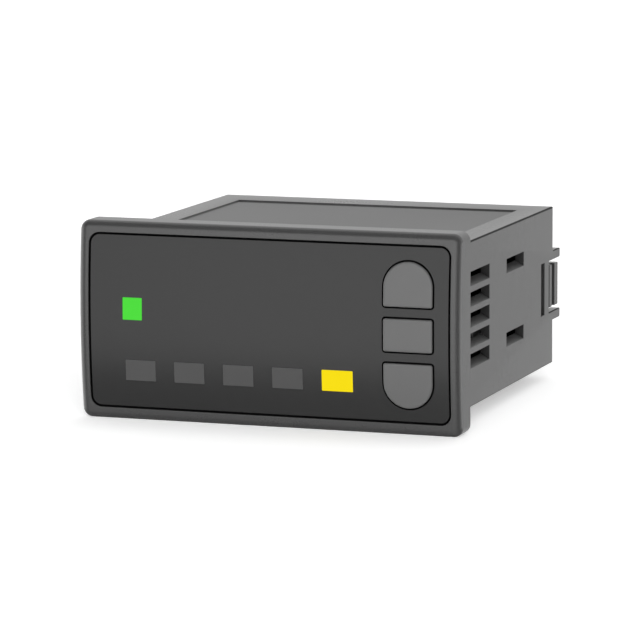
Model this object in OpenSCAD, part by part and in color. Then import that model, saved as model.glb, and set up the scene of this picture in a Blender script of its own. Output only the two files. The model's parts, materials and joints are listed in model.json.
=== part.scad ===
// Temperature controller for a panel cut-out, with a crowned front and a deep plastic case.
// X runs to the right seen from the front, Y runs back through the panel and Z runs up.
// The origin is the middle of the flange face that seats on the panel.

/* [Front frame] */
// Width of the front frame
frame_w = 96; // [88:1:110]
// Height of the front frame
frame_h = 48; // [46:1:56]
// Depth of the frame at its top and bottom edges
frame_depth = 6.7; // [6:0.1:9]
// How far the middle of the front stands out beyond its top and bottom edges
frame_crown = 1.45; // [0.8:0.05:2.5]
// Corner radius of the frame
frame_r = 2.4; // [1.2:0.1:5]
// Width of the rounding of the frame's front edge at the sides
frame_edge_w = 1.85; // [0.6:0.05:2]
// Height of the rounding of the frame's front edge at the top and bottom
frame_edge_h = 1.6; // [0.6:0.05:2]
// Depth of the rounding of the frame's front edge
frame_edge_d = 1.3; // [0.5:0.05:2]
// Width of the rim beside the lens opening
rim_side = 2.5; // [1.9:0.1:4]
// Width of the rim above and below the lens opening
rim_top = 2.8; // [1.9:0.05:4]
// Rounding of the rim's inner edge
rim_inner_r = 0.15; // [0.1:0.05:0.35]
// Thickness of the flange behind the display space
flange_t = 1.6; // [1:0.1:2.5]
// Length of the collar that plugs into the case
collar_len = 7; // [6.5:0.5:10]
// Wall of the collar
collar_t = 1.5; // [1:0.1:2]

/* [Lens] */
// Thickness of the lens
lens_t = 2; // [1.2:0.1:2.6]
// How far the lens lies below the rim
lens_drop = 0.25; // [0:0.05:0.6]
// Gap all round the lens
lens_gap = 0.5; // [0.2:0.05:0.8]
// Corner radius of the lens opening
lens_opening_r = 2.7; // [1.5:0.1:5]
// Width of the ledge that carries the lens
lens_ledge = 1.2; // [0.8:0.1:1.8]
// Thickness of the bond under the lens and round the windows
bond_t = 0.1; // [0.05:0.05:0.2]

/* [Keys] */
// Width of the keys
key_w = 12.05; // [9:0.05:13]
// Distance from the lens's upper and lower edges to the domed keys
key_margin = 3.35; // [3:0.05:5]
// Height of the square key
square_key_h = 7.8; // [5:0.1:8.5]
// Space between neighbouring keys
key_space = 2.8; // [2.6:0.05:3.6]
// Distance from the lens's right edge to the middle of the keys
key_inset = 9.9; // [8.8:0.1:13]
// Height of the middle of the key column
key_z = -0.15; // [-1:0.05:1]
// Radius of the keys' square corners
key_corner_r = 0.5; // [0.4:0.05:1.5]
// Rounding of the keys' front edge
key_edge_r = 0.25; // [0.2:0.05:0.75]
// How far the keys stand proud of the lens
key_proud = 0.45; // [0.4:0.05:1.2]
// Gap all round a key
key_gap = 0.4; // [0.2:0.05:0.6]
// How far a key travels
key_travel = 0.4; // [0.2:0.05:0.6]
// Width of the lip that keeps a key behind the lens
key_lip = 0.9; // [0.7:0.05:1]
// Least thickness of that lip
key_lip_t = 1; // [0.6:0.1:1.4]
// Play between the lip and the lens
key_play = 0.2; // [0.1:0.05:0.4]
// Radius of a key's stem
key_stem_r = 2; // [1.3:0.1:2.6]

/* [Windows] */
// Width of the green window
green_w = 4.9; // [3:0.05:7]
// Height of the green window
green_h = 5.35; // [3:0.05:7]
// Distance from the lens's left edge to the middle of the green window
green_inset = 10.75; // [10:0.05:14]
// Height of the middle of the green window
green_z = 3.1; // [0:0.1:6]
// Width of a window in the row
row_w = 7.7; // [5:0.1:9.5]
// Height of a window in the row
row_h = 5; // [3:0.1:6]
// Distance from the lens's left edge to the middle of the first window
row_inset = 12.65; // [11:0.05:14]
// Distance from the middle of the last window to the keys
row_end = 11.6; // [10:0.05:14]
// Distance from the lens's lower edge to the middle of the row
row_rise = 8.9; // [8.6:0.05:10]
// Width of the lip that keeps a window behind the lens
window_lip = 0.6; // [0.3:0.1:1]

/* [Display board] */
// Depth of the display board's front face behind the panel face
board_seat = 2.4; // [2:0.1:3]
// Thickness of all the boards
board_t = 1.6; // [1:0.1:2]
// Width of the ledge that carries the display board
board_ledge = 0.9; // [0.5:0.1:1]
// Gap round the display board
board_gap = 0.2; // [0.1:0.05:0.4]
// Width of a switch
switch_w = 4.5; // [4:0.1:6]
// Height of a switch on the board
switch_t = 2; // [1.6:0.1:2.4]
// Radius of a switch's plunger
plunger_r = 1.2; // [0.8:0.1:1.5]
// How far a plunger stands out of its switch
plunger_out = 3; // [2:0.1:3.4]
// How far a plunger reaches into its switch
plunger_in = 0.6; // [0.4:0.05:0.7]
// Running clearance round a plunger
plunger_gap = 0.05; // [0.02:0.01:0.1]
// Width of the digit display
digits_w = 50; // [40:1:54]
// Height of the digit display
digits_h = 18; // [14:0.5:19]
// Thickness of the digit display
digits_t = 7; // [5:0.1:7.4]
// Sideways place of the digit display
digits_x = -2; // [-3:0.5:0]
// Distance from the lens's upper edge to the digit display
digits_drop = 6.75; // [6:0.05:8]
// Number of digits
digit_count = 4; // [3:1:5]
// Height of a small light on the board
led_t = 0.9; // [0.6:0.1:1.2]
// Side of the controller chip
chip_w = 10; // [7:0.5:14]
// Thickness of the controller chip
chip_t = 1.4; // [1:0.1:2]

/* [Case] */
// How far the flange stands out beyond the sides of the case
flange_lip_side = 3.85; // [2:0.05:5]
// How far the flange stands out above and below the case
flange_lip_top = 4; // [2.5:0.05:4.3]
// Length of the case behind the panel face
case_len = 82.8; // [78:0.2:110]
// Wall of the case
case_t = 2.2; // [1.6:0.1:2.6]
// Rounding of the case's long edges
case_edge_r = 0.4; // [0.2:0.1:1.4]
// Rounding of the case's rear edges
case_rear_r = 0.5; // [0.2:0.1:1]
// Depth of the groove in the flange that takes the front end of the case
seat_d = 0.6; // [0.3:0.1:0.8]
// Clearance where the case and another piece plug together
plug_gap = 0.15; // [0.05:0.05:0.3]
// Width of the label recess on top
recess_w = 74.6; // [50:0.2:78]
// Sideways place of the middle of the label recess
recess_x = 0.4; // [-1:0.1:1]
// Depth of the label recess
recess_d = 0.5; // [0.3:0.05:1]
// Distance from the recess to either end of the case
recess_margin = 10.3; // [9:0.1:16]
// Height of a vent or bracket slot at the outside
slot_h = 3.55; // [2.5:0.05:3.8]
// How far a slot's floor rises on its way in
slot_ramp = 1.3; // [0.5:0.1:2]
// Height of the middle of the vents and the bracket slots
slot_z = 0.95; // [0:0.05:1]
// Number of vents on each side
vent_count = 5; // [3:1:5]
// Distance between vents
vent_pitch = 4.95; // [4.6:0.05:5.2]
// Front end of the vents
vent_front = 9.5; // [7.5:0.1:11]
// Rear end of the vents
vent_rear = 27.7; // [18:0.1:30]
// Front end of the bracket slots
bracket_front = 41.9; // [36:0.1:44]
// Length of the bracket slots
bracket_len = 14.75; // [10:0.05:18]
// Distance between the two bracket slots
bracket_pitch = 18.2; // [14:0.1:20]

/* [Rear latch] */
// Height of the middle of the latch
latch_z = -0.1; // [-1:0.05:1]
// Distance from the latch slot's rear edge to the end of the case
latch_slot_inset = 7.6; // [6:0.05:8]
// Length of the latch slot along the case
latch_slot_l = 3.1; // [2.8:0.05:4]
// Height of the latch slot
latch_slot_h = 13.3; // [12.4:0.1:16]
// Height of the latch tongue
tongue_h = 10.8; // [9:0.1:12]
// Thickness of the latch tongue
tongue_t = 1.6; // [1:0.1:2]
// How far the tongue stands out behind the case
tongue_out = 4.4; // [4:0.1:6]
// Length of each grip rib
grip_l = 2.9; // [1.5:0.1:3]
// Depth of the groove between the grip ribs
groove_d = 1.2; // [0.8:0.1:2]
// Depth of the notch between the lugs
notch_d = 3.8; // [1.5:0.1:4.5]
// Height of the notch between the lugs
notch_h = 13.2; // [13:0.1:16]
// Height of a lug
lug_h = 2.25; // [1.2:0.05:3]
// How far the lugs stand out behind the case
lug_out = 6.2; // [5:0.1:10]
// Rounding of the lugs' ends
lug_r = 0.6; // [0.2:0.05:0.8]
// Thickness of the rear cover
cover_t = 2; // [1.6:0.1:2.4]
// How far the hook reaches into the case wall
hook_reach = 1.4; // [0.8:0.1:1.6]
// Width of the cover's rim above and below the terminals
cover_rim = 2.25; // [1.5:0.05:4]
// Least width of the cover's rim beside the terminals
cover_side = 2; // [1.5:0.1:5]

/* [Main board] */
// Gap between the collar and the main board
main_gap = 1.5; // [0.5:0.1:2.5]
// Height of the rails under the main board
rail_h = 3.2; // [2:0.1:4]
// Width of the rails under the main board
rail_w = 3; // [2:0.1:4]
// Distance from the main board's rear edge to the end of the case
terminal_inset = 16.2; // [15:0.1:18]
// Width of the transformer core
core_w = 28; // [24:0.5:32]
// Depth of the transformer core
core_d = 12; // [8:0.5:16]
// Height of the transformer core
core_h = 24; // [18:0.5:28]
// Distance from the main board's front edge to the middle of the transformer
core_inset = 24; // [20:0.5:28]
// Width of the core's legs
core_leg = 5; // [3.5:0.1:5.5]
// Width of a relay
relay_w = 15.5; // [12:0.1:17]
// Length of a relay
relay_l = 19; // [15:0.5:22]
// Height of a relay
relay_h = 15.5; // [12:0.5:20]
// Radius of the capacitor
capacitor_r = 6.3; // [4:0.1:7]
// Height of the capacitor
capacitor_h = 20; // [14:0.5:25]
// Distance from the main board's front edge to the middle of the capacitor
capacitor_inset = 12; // [11.5:0.1:16]
// Width of the pin headers
header_w = 24; // [16:1:30]
// Height of the pin headers
header_h = 4; // [2.5:0.1:5]

/* [Terminals] */
// Distance between terminals
terminal_pitch = 7.62; // [6.5:0.02:9]
// How far the terminals' seat stands out behind the case
terminal_proud = 0.8; // [0:0.1:1.5]
// Distance between the two terminal blocks
terminal_space = 5; // [4:0.1:6]
// Thickness of the barriers between terminals
barrier_t = 1.4; // [1:0.1:1.6]
// How far the barriers stand out
barrier_out = 4; // [3:0.1:5]
// Radius of a terminal screw's head
screw_head_r = 2.5; // [2:0.1:2.7]
// Height of a terminal screw's head
screw_head_h = 1.8; // [1.2:0.1:2.2]
// Radius of a terminal screw's shank
screw_r = 1.45; // [1:0.05:1.6]
// Length of a terminal screw's shank
screw_l = 7; // [4:0.1:9]
// Thickness of a clamp plate
clamp_t = 0.8; // [0.5:0.1:1.2]

/* [Hidden] */
$fn = 64;

// Cuts run this far past the faces they open.
past = 1;
// Steps of a rounded corner, of a rounded edge and of a straight side in the crowned shapes.
corner_steps = 8;
edge_steps = 6;
side_steps = 10;
// Steps of the whole crown cylinder.
crown_steps = 360;

// The front is part of a cylinder about an axis along X, far behind the panel.
crown_r = (pow(frame_h / 2, 2) + pow(frame_crown, 2)) / (2 * frame_crown);
crown_axis_y = crown_r - frame_depth - frame_crown;
front_reach = frame_depth + frame_crown + key_proud + past;

// The lens opening, the lens and the space behind it, as half sizes.
opening_x = frame_w / 2 - rim_side;
opening_z = frame_h / 2 - rim_top;
lens_x = opening_x - lens_gap;
lens_z = opening_z - lens_gap;
lens_r = lens_opening_r - lens_gap;
lens_back = lens_drop + lens_t;
space_x = opening_x - lens_ledge;
space_z = opening_z - lens_ledge;
inner_r = 1;

// The roundings of the frame's front edge and of the rim's inner edge leave some of the rim between them,
// and the outer one keeps the frame's corners round.
outer_edge_w = min(frame_edge_w, 0.75 * rim_side, 0.85 * frame_r);
outer_edge_h = min(frame_edge_h, 0.75 * rim_top, 0.85 * frame_r);
inner_edge_r = min(rim_inner_r, 0.15 * min(rim_side, rim_top));

// The case and the collar inside it, as half sizes.
case_x = frame_w / 2 - flange_lip_side;
case_z = frame_h / 2 - flange_lip_top;
bore_x = case_x - case_t;
bore_z = case_z - case_t;
collar_x = bore_x - plug_gap;
collar_z = bore_z - plug_gap;
collar_in_x = collar_x - collar_t;
collar_in_z = collar_z - collar_t;

// The snap bumps on the collar and their pockets in the case.
snap_x = 22;
snap_l = 12;
snap_y = 3;
snap_len_y = 2.5;
snap_h = 0.6;
nub_gap = 0.1;

// The keys: the domed ones fill the column. Then the plane behind the lips and the plungers.
dome_key_h = lens_z - key_margin - key_space - square_key_h / 2;
dome_key_z = square_key_h / 2 + key_space + dome_key_h / 2;
key_x = lens_x - key_inset;
lip_reach = dome_key_z + dome_key_h / 2 + key_lip + abs(key_z);
key_back = skin_y(lip_reach, lens_back + key_play) + key_lip_t;
lip_overlap = 0.3;
switch_front = board_seat - switch_t;
plunger_front = switch_front - plunger_out;
switch_z = min(dome_key_z, collar_in_z - board_ledge - board_gap - switch_w / 2 - abs(key_z));

// The windows: the row runs from the lens's left edge to the keys, and all end in front of the lights.
row_count = 5;
row_z = row_rise - lens_z;
row_x = row_inset - lens_x;
row_pitch = (key_x - key_w / 2 - row_end - row_x) / (row_count - 1);
green_x = green_inset - lens_x;
guide_end = board_seat - led_t - bond_t;
digits_z = lens_z - digits_drop - digits_h / 2;

// The boards and what stands on them.
board_back = board_seat + board_t;
main_front = collar_len + main_gap;
main_rear = case_len - terminal_inset;
main_bottom = rail_h - bore_z;
main_top = main_bottom + board_t;
main_x = bore_x - plug_gap;
terminal_board_back = main_rear + board_t;
header_hold = 4.5;
core_window = (core_w - 3 * core_leg) / 2;
winding_gap = 0.2;
transformer_x = -core_w / 2 - header_hold;
transformer_y = main_front + core_inset;
relay_space = 3;
relay_right_x = main_x - rail_w - relay_space - relay_w / 2;

// The rear: cover, latch and terminals.
cover_front = case_len - cover_t;
cover_x = bore_x - plug_gap;
cover_z = bore_z - plug_gap;
latch_slot_rear = case_len - latch_slot_inset;
latch_slot_front = latch_slot_rear - latch_slot_l;
notch_front = case_len - notch_d;
notch_gap = 0.8;
hook_gap = 0.3;
cover_hole_gap = 0.3;
terminal_count = floor((2 * (cover_x - cover_side - cover_hole_gap) - barrier_t) / terminal_pitch);
terminal_w = terminal_count * terminal_pitch + barrier_t;
terminal_h = cover_z - cover_rim - cover_hole_gap - terminal_space / 2;
terminal_z = terminal_space / 2 + terminal_h / 2;
terminal_seat = case_len + terminal_proud;

// Depth of the crowned skin at height z, sunk by the given amount below the front.
function skin_y(z, sunk) = crown_axis_y - sqrt(pow(crown_r - sunk, 2) - z * z);

// Points of an arc, from one angle to another.
function arc(cx, cz, r, from, to, steps) =
    [for (i = [0 : steps]) let (a = from + (to - from) * i / steps) [cx + r * cos(a), cz + r * sin(a)]];

// Right half of a rounded rectangle from bottom to top, with its side in steps to follow the crown.
function rounded_side(x, z, r) = concat(
    arc(x - r, r - z, r, -90, 0, corner_steps),
    [for (i = [1 : side_steps - 1]) [x, (z - r) * (2 * i / side_steps - 1)]],
    arc(x - r, z - r, r, 0, 90, corner_steps)
);

// Right half of a domed outline from its square foot to its round top, shrunk all round by inset.
function dome_side(w, h, r, inset) = concat(
    arc(w / 2 - r, r - h / 2, r - inset, -90, 0, corner_steps),
    arc(0, h / 2 - w / 2, w / 2 - inset, 0, 90 - 45 / corner_steps, 2 * corner_steps)
);

// Right half of the square key's outline, shrunk all round by inset.
function square_side(w, h, r, inset) = rounded_side(w / 2 - inset, h / 2 - inset, r - inset);

// Closes a right half with its mirror image.
function both_sides(side) =
    concat(side, [for (i = [len(side) - 1 : -1 : 0]) [-side[i].x, side[i].y]]);

// A ring of points at one depth, or sunk below the crowned skin.
function flat_ring(outline, y) = [for (p = outline) [p.x, y, p.y]];
function skin_ring(outline, sunk) = [for (p = outline) [p.x, skin_y(p.y, sunk), p.y]];

// Triangles between ring k and ring l of n points each.
function ring_band(k, l, n) = [
    for (i = [0 : n - 1])
        let (j = (i + 1) % n)
            each [[k * n + i, l * n + i, k * n + j], [k * n + j, l * n + i, l * n + j]]
];

// Level strips that close ring k, whose right and left halves mirror each other.
function ring_cap(k, n) = [
    for (i = [0 : n / 2 - 2])
        let (a = k * n + i, b = k * n + n - 1 - i)
            each [[a, a + 1, b], [a + 1, b - 1, b]]
];
function turned(faces) = [for (f = faces) [f[2], f[1], f[0]]];

// A frame: a closed profile of rings, all round the lens.
module ring_frame(rings) {
    n = len(rings[0]);
    last = len(rings) - 1;
    polyhedron(
        points = [for (ring = rings) each ring],
        faces = concat([for (k = [0 : last - 1]) each ring_band(k, k + 1, n)], ring_band(last, 0, n))
    );
}

// A plug: rings from the back to the front, closed at both ends.
module ring_plug(rings) {
    n = len(rings[0]);
    last = len(rings) - 1;
    polyhedron(
        points = [for (ring = rings) each ring],
        faces = concat(
            [for (k = [0 : last - 1]) each ring_band(k, k + 1, n)],
            turned(ring_cap(0, n)),
            ring_cap(last, n)
        )
    );
}

// Carries a flat outline, drawn in X and Z, from one depth to another.
module along_y(from, to) {
    translate([0, to, 0]) rotate([90, 0, 0]) linear_extrude(height = to - from) children();
}

// Carries a flat outline, drawn in Y and Z, from one place across to another.
module along_x(from, to) {
    translate([from, 0, 0]) rotate([90, 0, 90]) linear_extrude(height = to - from) children();
}

// Everything behind the crowned skin, sunk by the given amount below the front.
module behind_skin(sunk) {
    translate([0, crown_axis_y, 0]) rotate([0, 90, 0])
        cylinder(r = crown_r - sunk, h = 2 * frame_w, center = true, $fn = crown_steps);
}

module rounded_rectangle(w, h, r) {
    square([w - 2 * r, h], center = true);
    square([w, h - 2 * r], center = true);
    for (x = [-1, 1], z = [-1, 1]) translate([x * (w / 2 - r), z * (h / 2 - r)]) circle(r = r);
}

// A domed outline: square foot below, half circle above.
module domed_outline(w, h, r) {
    translate([0, h / 2 - w / 2]) intersection() {
        circle(r = w / 2);
        translate([-w / 2, 0]) square([w, w / 2]);
    }
    translate([-w / 2, r - h / 2]) square([w, h - w / 2 - r]);
    translate([r - w / 2, -h / 2]) square([w - 2 * r, r]);
    for (x = [-1, 1]) translate([x * (w / 2 - r), r - h / 2]) circle(r = r);
}

// Outline of a key's hole or lip, grown all round.
module key_outline(domed, grow) {
    if (domed) domed_outline(key_w + 2 * grow, dome_key_h + 2 * grow, key_corner_r + grow);
    else rounded_rectangle(key_w + 2 * grow, square_key_h + 2 * grow, key_corner_r + grow);
}

// Places the outline of the upper, middle or lower key: which is 1, 0 or -1.
module key_place(which) {
    translate([key_x, key_z + which * dome_key_z]) mirror([0, which < 0 ? 1 : 0]) children();
}

// Places a switch, its plunger and its key's stem behind that key, clear of the ledge that carries the board.
module switch_place(which) {
    translate([key_x, key_z + which * switch_z]) children();
}

// Snap wedge of length l along X, from its outline in Y and Z.
module wedge(x, l, points) {
    along_x(x - l / 2, x + l / 2) polygon(points);
}

// The frame's section runs from the flange, over the rounded edge and the rim, into the lens pocket,
// past the shelf and the board's ledge to the collar, and by the groove for the case back to the flange.
module front_bezel() color("#6a6a6a") {
    x = frame_w / 2;
    z = frame_h / 2;
    outer = both_sides(rounded_side(x, z, frame_r));
    edge = [
        for (i = [0 : edge_steps])
            let (a = 90 * i / edge_steps, in_x = outer_edge_w * (1 - cos(a)), in_z = outer_edge_h * (1 - cos(a)))
                skin_ring(
                    both_sides(rounded_side(x - in_x, z - in_z, frame_r - max(in_x, in_z))),
                    frame_edge_d * (1 - sin(a))
                )
    ];
    inner_edge = [
        for (i = [0 : edge_steps / 2])
            let (a = 180 * i / edge_steps, out = inner_edge_r * (1 - sin(a)))
                skin_ring(
                    both_sides(rounded_side(opening_x + out, opening_z + out, lens_opening_r + out)),
                    inner_edge_r * (1 - cos(a))
                )
    ];
    opening = both_sides(rounded_side(opening_x, opening_z, lens_opening_r));
    space = both_sides(rounded_side(space_x, space_z, max(lens_opening_r - lens_ledge, inner_r / 2)));
    ledge = both_sides(rounded_side(collar_in_x - board_ledge, collar_in_z - board_ledge, inner_r));
    collar_in = both_sides(rounded_side(collar_in_x, collar_in_z, inner_r));
    collar = both_sides(rounded_side(collar_x, collar_z, inner_r));
    groove = both_sides(rounded_side(case_x + plug_gap, case_z + plug_gap, case_edge_r + plug_gap));
    ring_frame(concat(
        [flat_ring(outer, 0)],
        edge,
        inner_edge,
        [
            skin_ring(opening, lens_back + bond_t),
            skin_ring(space, lens_back + bond_t),
            flat_ring(space, -flange_t),
            flat_ring(ledge, -flange_t),
            flat_ring(ledge, board_seat),
            flat_ring(collar_in, board_seat),
            flat_ring(collar_in, collar_len),
            flat_ring(collar, collar_len),
            flat_ring(collar, -seat_d),
            flat_ring(groove, -seat_d),
            flat_ring(groove, 0)
        ]
    ));
    for (sx = [-1, 1], sz = [-1, 1]) {
        wedge(sx * snap_x, snap_l, [
            [snap_y, sz * (collar_z - snap_h)],
            [snap_y, sz * (collar_z + snap_h)],
            [snap_y + snap_len_y, sz * (collar_z - snap_h)]
        ]);
        wedge(sx * snap_x, snap_l, [
            [board_back + nub_gap, sz * (collar_in_z + snap_h)],
            [board_back + nub_gap, sz * (collar_in_z - snap_h)],
            [board_back + nub_gap + snap_len_y, sz * (collar_in_z + snap_h)]
        ]);
    }
}

module front_lens() color("#3c3c3c") difference() {
    intersection() {
        along_y(-front_reach, 0) rounded_rectangle(2 * lens_x, 2 * lens_z, lens_r);
        behind_skin(lens_drop);
    }
    behind_skin(lens_back);
    for (which = [-1 : 1])
        along_y(-front_reach - past, past) key_place(which) key_outline(which != 0, key_gap);
    along_y(-front_reach - past, past) {
        translate([green_x, green_z]) square([green_w + 2 * bond_t, green_h + 2 * bond_t], center = true);
        for (i = [0 : row_count - 1])
            translate([row_x + i * row_pitch, row_z])
                square([row_w + 2 * bond_t, row_h + 2 * bond_t], center = true);
    }
}

// A window, flush with the lens, that carries light forward from the board.
module light_guide(x, z, w, h) {
    intersection() {
        translate([x, 0, z]) along_y(-front_reach, guide_end) square([w, h], center = true);
        behind_skin(lens_drop);
    }
    intersection() {
        translate([x, 0, z]) along_y(-front_reach, key_back)
            square([w + 2 * window_lip, h + 2 * window_lip], center = true);
        behind_skin(lens_back + bond_t);
    }
}

module row_guide(i) {
    light_guide(row_x + i * row_pitch, row_z, row_w, row_h);
}

module light_guide_green() color("#50e141") light_guide(green_x, green_z, green_w, green_h);
module light_guide_1() color("#5c5c5c") row_guide(0);
module light_guide_2() color("#5c5c5c") row_guide(1);
module light_guide_3() color("#5c5c5c") row_guide(2);
module light_guide_4() color("#5c5c5c") row_guide(3);
module light_guide_yellow() color("#f7df19") row_guide(4);

// Rings of a key's cap, which follows the crown a little in front of the lens.
function cap_outline(which, inset) =
    let (
        side = which == 0
            ? square_side(key_w, square_key_h, key_corner_r, inset)
            : dome_side(key_w, dome_key_h, key_corner_r, inset),
        up = which < 0 ? [for (i = [len(side) - 1 : -1 : 0]) [side[i].x, -side[i].y]] : side
    )
        [for (p = both_sides(up)) [p.x + key_x, p.y + key_z + which * dome_key_z]];

// A key: crowned cap with a rounded edge, a lip behind the lens and a stem to the switch.
module key(which) {
    face = lens_drop - key_proud;
    ring_plug(concat(
        [flat_ring(cap_outline(which, 0), key_back - lip_overlap)],
        [
            for (i = [0 : edge_steps])
                let (a = 90 * i / edge_steps)
                    skin_ring(
                        cap_outline(which, key_edge_r * (1 - cos(a))),
                        face + key_edge_r * (1 - sin(a))
                    )
        ]
    ));
    intersection() {
        along_y(-front_reach, key_back) key_place(which) key_outline(which != 0, key_lip);
        behind_skin(lens_back + key_play);
    }
    along_y(key_back - lip_overlap, plunger_front) switch_place(which) circle(r = key_stem_r);
}

module key_up() color("#757575") key(1);
module key_set() color("#757575") key(0);
module key_down() color("#757575") key(-1);

module plunger(which) {
    along_y(plunger_front, switch_front + plunger_in) switch_place(which) circle(r = plunger_r);
}

module plunger_up() color("#2a2a2a") plunger(1);
module plunger_set() color("#2a2a2a") plunger(0);
module plunger_down() color("#2a2a2a") plunger(-1);

// A switch: square body with a round well for the plunger.
module switch_body(which) {
    corner = 0.6;
    end_play = 0.2;
    difference() {
        along_y(switch_front, board_seat) switch_place(which) rounded_rectangle(switch_w, switch_w, corner);
        along_y(switch_front - past, switch_front + plunger_in + key_travel + end_play)
            switch_place(which) circle(r = plunger_r + plunger_gap);
    }
}

module switch_up() color("#303030") switch_body(1);
module switch_set() color("#303030") switch_body(0);
module switch_down() color("#303030") switch_body(-1);

module display_board() color("#2f6b3c") along_y(board_seat, board_back)
    rounded_rectangle(2 * (collar_in_x - board_gap), 2 * (collar_in_z - board_gap), inner_r);

// One bar of a digit, pointed at both ends.
module digit_bar(l, w) {
    half = (l - w) / 2;
    polygon([[-l / 2, 0], [-half, w / 2], [half, w / 2], [l / 2, 0], [half, -w / 2], [-half, -w / 2]]);
}

// Digit display: a block whose face has the bars of each digit sunk into it.
module digit_display() color("#1c1c1c") {
    face = board_seat - digits_t;
    digit_pitch = digits_w / digit_count;
    digit_margin = 2.5;
    bar_w = 1.3;
    bar_gap = 0.3;
    bar_sunk = 0.3;
    digit_h = digits_h - 2 * digit_margin;
    bar_h = digit_h / 2 - bar_gap;
    bar_l = min(digit_pitch - 2 * digit_margin, bar_h);
    difference() {
        translate([digits_x, 0, digits_z]) along_y(face, board_seat)
            square([digits_w, digits_h], center = true);
        for (i = [0 : digit_count - 1])
            translate([digits_x + (i + 0.5) * digit_pitch - digits_w / 2, 0, digits_z])
                along_y(face - past, face + bar_sunk) {
                    for (k = [-1 : 1]) translate([0, k * digit_h / 2]) digit_bar(bar_l, bar_w);
                    for (sx = [-1, 1], sz = [-1, 1])
                        translate([sx * (bar_l / 2 + bar_gap), sz * digit_h / 4])
                            rotate(90) digit_bar(bar_h, bar_w);
                }
    }
}

module indicator_leds() color("#e8e8d8") {
    light_w = 3;
    light_h = 1.8;
    along_y(board_seat - led_t, board_seat) {
        translate([green_x, green_z]) square([light_w, light_h], center = true);
        for (i = [0 : row_count - 1])
            translate([row_x + i * row_pitch, row_z]) square([light_w, light_h], center = true);
    }
}

module controller_chip() color("#222222") {
    chip_x = 14;
    chip_z = 4;
    translate([chip_x, 0, chip_z]) along_y(board_back, board_back + chip_t) square(chip_w, center = true);
}

// Louvred slots in one side wall: a level roof, and a floor that rises on its way in.
module side_slot(from, to, z) {
    along_y(from, to) polygon([
        [case_x + past, z - slot_h / 2],
        [case_x, z - slot_h / 2],
        [bore_x, z - slot_h / 2 + slot_ramp],
        [bore_x - past, z - slot_h / 2 + slot_ramp],
        [bore_x - past, z + slot_h / 2],
        [case_x + past, z + slot_h / 2]
    ]);
}

// All the cuts in the right wall.
module side_cuts() {
    for (i = [0 : vent_count - 1])
        side_slot(vent_front, vent_rear, slot_z + (i - (vent_count - 1) / 2) * vent_pitch);
    for (s = [-1, 1])
        side_slot(bracket_front, bracket_front + bracket_len, slot_z + s * bracket_pitch / 2);
    along_x(bore_x - past, case_x + past) {
        translate([latch_slot_front, latch_z - latch_slot_h / 2]) square([latch_slot_l, latch_slot_h]);
        translate([notch_front, latch_z - notch_h / 2]) square([notch_d + past, notch_h]);
    }
}

// The two lugs beside the latch on the right wall, and the rail and lip for the main board.
module side_rails() {
    root = notch_front;
    tip = case_len + lug_out;
    lip_h = 1;
    for (s = [-1, 1])
        translate([0, 0, latch_z + s * (notch_h + lug_h) / 2])
            along_x(bore_x, case_x) {
                translate([root, -lug_h / 2]) square([tip - lug_r - root, lug_h]);
                translate([root, lug_r - lug_h / 2]) square([tip - root, lug_h - 2 * lug_r]);
                for (e = [-1, 1]) translate([tip - lug_r, e * (lug_h / 2 - lug_r)]) circle(r = lug_r);
            }
    along_y(main_front, main_rear) {
        translate([bore_x - rail_w, -bore_z - plug_gap]) square([rail_w + plug_gap, rail_h + plug_gap]);
        translate([bore_x - rail_w / 2, main_top + nub_gap]) square([rail_w / 2 + plug_gap, lip_h]);
    }
}

// The case: a sleeve with rounded edges, cut in its side walls and recessed on top.
module case() color("#7a7a7a") {
    stop_h = 1.2;
    stop_l = 2;
    stop_w = 60;
    // Outlines that are rounded at the rear end run on past the front end.
    outline_l = 2 * case_len;
    difference() {
        intersection() {
            along_y(-seat_d, case_len) rounded_rectangle(2 * case_x, 2 * case_z, case_edge_r);
            along_x(-case_x - past, case_x + past) translate([case_len - outline_l / 2, 0])
                rounded_rectangle(outline_l, 2 * case_z, case_rear_r);
            translate([0, case_len - outline_l / 2, -case_z - past])
                linear_extrude(height = 2 * (case_z + past))
                    rounded_rectangle(2 * case_x, outline_l, case_rear_r);
        }
        along_y(-past, case_len + past) square([2 * bore_x, 2 * bore_z], center = true);
        translate([recess_x - recess_w / 2, recess_margin, case_z - recess_d])
            cube([recess_w, case_len - 2 * recess_margin, recess_d + past]);
        for (s = [0, 1]) mirror([s, 0, 0]) side_cuts();
        for (sx = [-1, 1])
            translate([sx * snap_x, snap_y + snap_len_y / 2, 0])
                cube([snap_l + 2 * nub_gap, snap_len_y + 4 * nub_gap, 2 * (bore_z + snap_h)], center = true);
    }
    for (s = [0, 1]) mirror([s, 0, 0]) side_rails();
    for (s = [0, 1]) mirror([0, 0, s])
        translate([-stop_w / 2, cover_front - stop_l, bore_z - stop_h])
            cube([stop_w, stop_l, stop_h + plug_gap]);
}

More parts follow.
